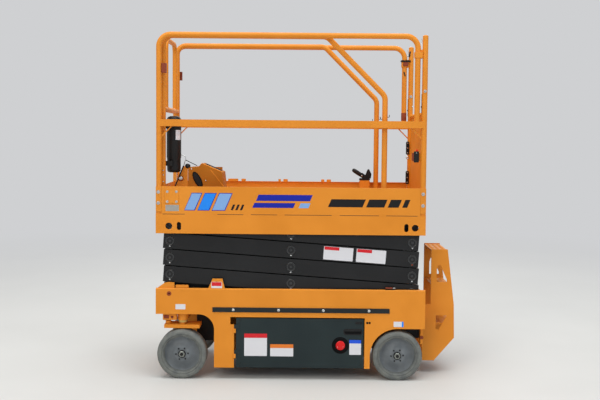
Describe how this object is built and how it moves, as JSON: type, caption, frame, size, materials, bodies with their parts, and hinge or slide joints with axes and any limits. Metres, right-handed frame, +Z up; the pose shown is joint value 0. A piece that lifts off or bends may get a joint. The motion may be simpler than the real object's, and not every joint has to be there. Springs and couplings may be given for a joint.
{
  "type": "scissor lift",
  "caption": "Compact electric slab scissor lift with a roll-out platform extension, guard rails, an entry gate, swing-out trays and steered solid tyres.",
  "frame": {"origin": "on the ground, under the middle of the machine's overall length and width", "axes": "+X towards the ladder end, +Y towards the side away from the power unit, +Z up"},
  "size_m": [1.87, 0.76, 2.126],
  "materials": {
    "yellow_paint": "gloss",
    "dark_paint": "satin",
    "door_paint": "satin",
    "tyre_rubber": "matt",
    "wheel_paint": "satin",
    "bracket_paint": "satin",
    "steel": "bright",
    "black_plastic": "matt",
    "red_plastic": "gloss",
    "battery_case": "matt"
  },
  "bodies": {
    "chassis": {"chassis_side_near": "yellow_paint", "chassis_side_far": "yellow_paint", "chassis_cross_plates": "yellow_paint", "chassis_spine": "yellow_paint", "wheel_well_plates": "yellow_paint", "side_strips": "dark_paint", "lifting_lugs": "yellow_paint", "steer_axle_beam": "yellow_paint", "drive_motors": "dark_paint", "door_hinges": "yellow_paint", "ladder_stiles": "yellow_paint", "ladder_treads": "yellow_paint", "roller_tracks": "dark_paint", "base_pivots": "dark_paint"},
    "knuckle_near": {"knuckle_near": "yellow_paint"},
    "knuckle_far": {"knuckle_far": "yellow_paint"},
    "tie_rod": {"tie_rod": "dark_paint"},
    "door_near": {"door_near": "door_paint", "power_unit": "battery_case", "stop_button": "red_plastic"},
    "door_far": {"door_far": "door_paint", "battery_pack": "battery_case"},
    "lift_cylinder": {"lift_cylinder": "dark_paint"},
    "lift_rod": {"lift_rod": "steel"},
    "platform": {"deck_frame": "yellow_paint", "toe_boards": "yellow_paint", "rails_near": "yellow_paint", "rails_far": "yellow_paint", "deck_tracks": "dark_paint", "deck_pivots": "dark_paint", "gate_hinges": "black_plastic", "gate_latch": "black_plastic", "fold_brackets": "bracket_paint"},
    "gate": {"gate": "yellow_paint"},
    "extension": {"extension_floor": "yellow_paint", "extension_rails_near": "yellow_paint", "extension_rails_far": "yellow_paint", "extension_front_bars": "yellow_paint", "document_tube": "black_plastic", "control_box": "yellow_paint"},
    "wheel_steer_near": {"tyre_steer_near": "tyre_rubber", "wheel_steer_near": "wheel_paint"},
    "wheel_steer_far": {"tyre_steer_far": "tyre_rubber", "wheel_steer_far": "wheel_paint"},
    "wheel_drive_near": {"tyre_drive_near": "tyre_rubber", "wheel_drive_near": "wheel_paint"},
    "wheel_drive_far": {"tyre_drive_far": "tyre_rubber", "wheel_drive_far": "wheel_paint"},
    "arms_outer_1": {"arms_outer_1": "dark_paint"},
    "arms_inner_1": {"arms_inner_1": "dark_paint"},
    "arms_outer_2": {"arms_outer_2": "dark_paint"},
    "arms_inner_2": {"arms_inner_2": "dark_paint"},
    "arms_outer_3": {"arms_outer_3": "dark_paint"},
    "arms_inner_3": {"arms_inner_3": "dark_paint"},
    "arms_outer_4": {"arms_outer_4": "dark_paint"},
    "arms_inner_4": {"arms_inner_4": "dark_paint"}
  },
  "joints": [
    {"name": "lift", "type": "hinge", "parent": "chassis", "child": "arms_outer_1", "pos_m": [0.639, 0, 0.542], "axis": [0, 1, 0], "range_deg": [0, 56.05]},
    {"name": "middle_pin_1", "type": "hinge", "parent": "arms_outer_1", "child": "arms_inner_1", "pos_m": [-0.10697, 0, 0.5935], "axis": [0, 1, 0], "range_deg": [-112.16, 0]},
    {"name": "front_pin_1", "type": "hinge", "parent": "arms_outer_1", "child": "arms_inner_2", "pos_m": [-0.85295, 0, 0.645], "axis": [0, 1, 0], "range_deg": [-112.16, 0]},
    {"name": "middle_pin_2", "type": "hinge", "parent": "arms_inner_2", "child": "arms_outer_2", "pos_m": [-0.10697, 0, 0.6965], "axis": [0, 1, 0], "range_deg": [0, 112.16]},
    {"name": "rear_pin_2", "type": "hinge", "parent": "arms_inner_2", "child": "arms_outer_3", "pos_m": [0.639, 0, 0.748], "axis": [0, 1, 0], "range_deg": [0, 112.16]},
    {"name": "middle_pin_3", "type": "hinge", "parent": "arms_outer_3", "child": "arms_inner_3", "pos_m": [-0.10697, 0, 0.7995], "axis": [0, 1, 0], "range_deg": [-112.16, 0]},
    {"name": "front_pin_3", "type": "hinge", "parent": "arms_outer_3", "child": "arms_inner_4", "pos_m": [-0.85295, 0, 0.851], "axis": [0, 1, 0], "range_deg": [-112.16, 0]},
    {"name": "middle_pin_4", "type": "hinge", "parent": "arms_inner_4", "child": "arms_outer_4", "pos_m": [-0.10697, 0, 0.9025], "axis": [0, 1, 0], "range_deg": [0, 112.16]},
    {"name": "platform_pin", "type": "hinge", "parent": "arms_inner_4", "child": "platform", "pos_m": [0.639, 0, 0.954], "axis": [0, 1, 0], "range_deg": [0, 56.08]},
    {"name": "cylinder_foot", "type": "hinge", "parent": "arms_inner_1", "child": "lift_cylinder", "pos_m": [0.48981, 0, 0.6347], "axis": [0, 1, 0], "range_deg": [0, 119.15]},
    {"name": "cylinder_stroke", "type": "slide", "parent": "lift_cylinder", "child": "lift_rod", "axis": [-0.9947, 0, 0.103], "range_m": [0, 0.46561]},
    {"name": "steer", "type": "hinge", "parent": "chassis", "child": "knuckle_near", "pos_m": [-0.775, -0.318, 0.3], "axis": [0, 0, 1], "range_deg": [-65, 65]},
    {"name": "steer_far_side", "type": "hinge", "parent": "chassis", "child": "knuckle_far", "pos_m": [-0.775, 0.318, 0.3], "axis": [0, 0, 1], "range_deg": [-65.1, 65.1]},
    {"name": "tie_rod_pin", "type": "hinge", "parent": "knuckle_near", "child": "tie_rod", "pos_m": [-0.865, -0.318, 0.344], "axis": [0, 0, 1], "range_deg": [-65.1, 65.1]},
    {"name": "roll_steer_near", "type": "hinge", "parent": "knuckle_near", "child": "wheel_steer_near", "pos_m": [-0.775, -0.328, 0.1525], "axis": [0, 1, 0], "continuous": true},
    {"name": "roll_steer_far", "type": "hinge", "parent": "knuckle_far", "child": "wheel_steer_far", "pos_m": [-0.775, 0.328, 0.1525], "axis": [0, 1, 0], "continuous": true},
    {"name": "roll_drive_near", "type": "hinge", "parent": "chassis", "child": "wheel_drive_near", "pos_m": [0.553, -0.328, 0.1525], "axis": [0, 1, 0], "continuous": true},
    {"name": "roll_drive_far", "type": "hinge", "parent": "chassis", "child": "wheel_drive_far", "pos_m": [0.553, 0.328, 0.1525], "axis": [0, 1, 0], "continuous": true},
    {"name": "door_near_hinge", "type": "hinge", "parent": "chassis", "child": "door_near", "pos_m": [-0.447, -0.375, 0.23], "axis": [0, 0, -1], "range_deg": [0, 110]},
    {"name": "door_far_hinge", "type": "hinge", "parent": "chassis", "child": "door_far", "pos_m": [-0.447, 0.375, 0.23], "axis": [0, 0, 1], "range_deg": [0, 110]},
    {"name": "gate_hinge", "type": "hinge", "parent": "platform", "child": "gate", "pos_m": [0.698, 0.316, 1.4], "axis": [0, 0, -1], "range_deg": [0, 75]},
    {"name": "extension_slide", "type": "slide", "parent": "platform", "child": "extension", "axis": [-1, 0, 0], "range_m": [0, 0.9]}
  ],
  "couplings": [
    {"joint": "middle_pin_1", "follows": "lift", "ratio": -2},
    {"joint": "front_pin_1", "follows": "lift", "ratio": -2},
    {"joint": "middle_pin_2", "follows": "lift", "ratio": 2},
    {"joint": "rear_pin_2", "follows": "lift", "ratio": 2},
    {"joint": "middle_pin_3", "follows": "lift", "ratio": -2},
    {"joint": "front_pin_3", "follows": "lift", "ratio": -2},
    {"joint": "middle_pin_4", "follows": "lift", "ratio": 2},
    {"joint": "platform_pin", "follows": "lift", "ratio": 1},
    {"joint": "cylinder_foot", "follows": "lift", "ratio": 2.1246},
    {"joint": "cylinder_stroke", "follows": "lift", "m_per_rad": 0.47571},
    {"joint": "steer_far_side", "follows": "steer", "ratio": 1},
    {"joint": "tie_rod_pin", "follows": "steer", "ratio": -1}
  ]
}
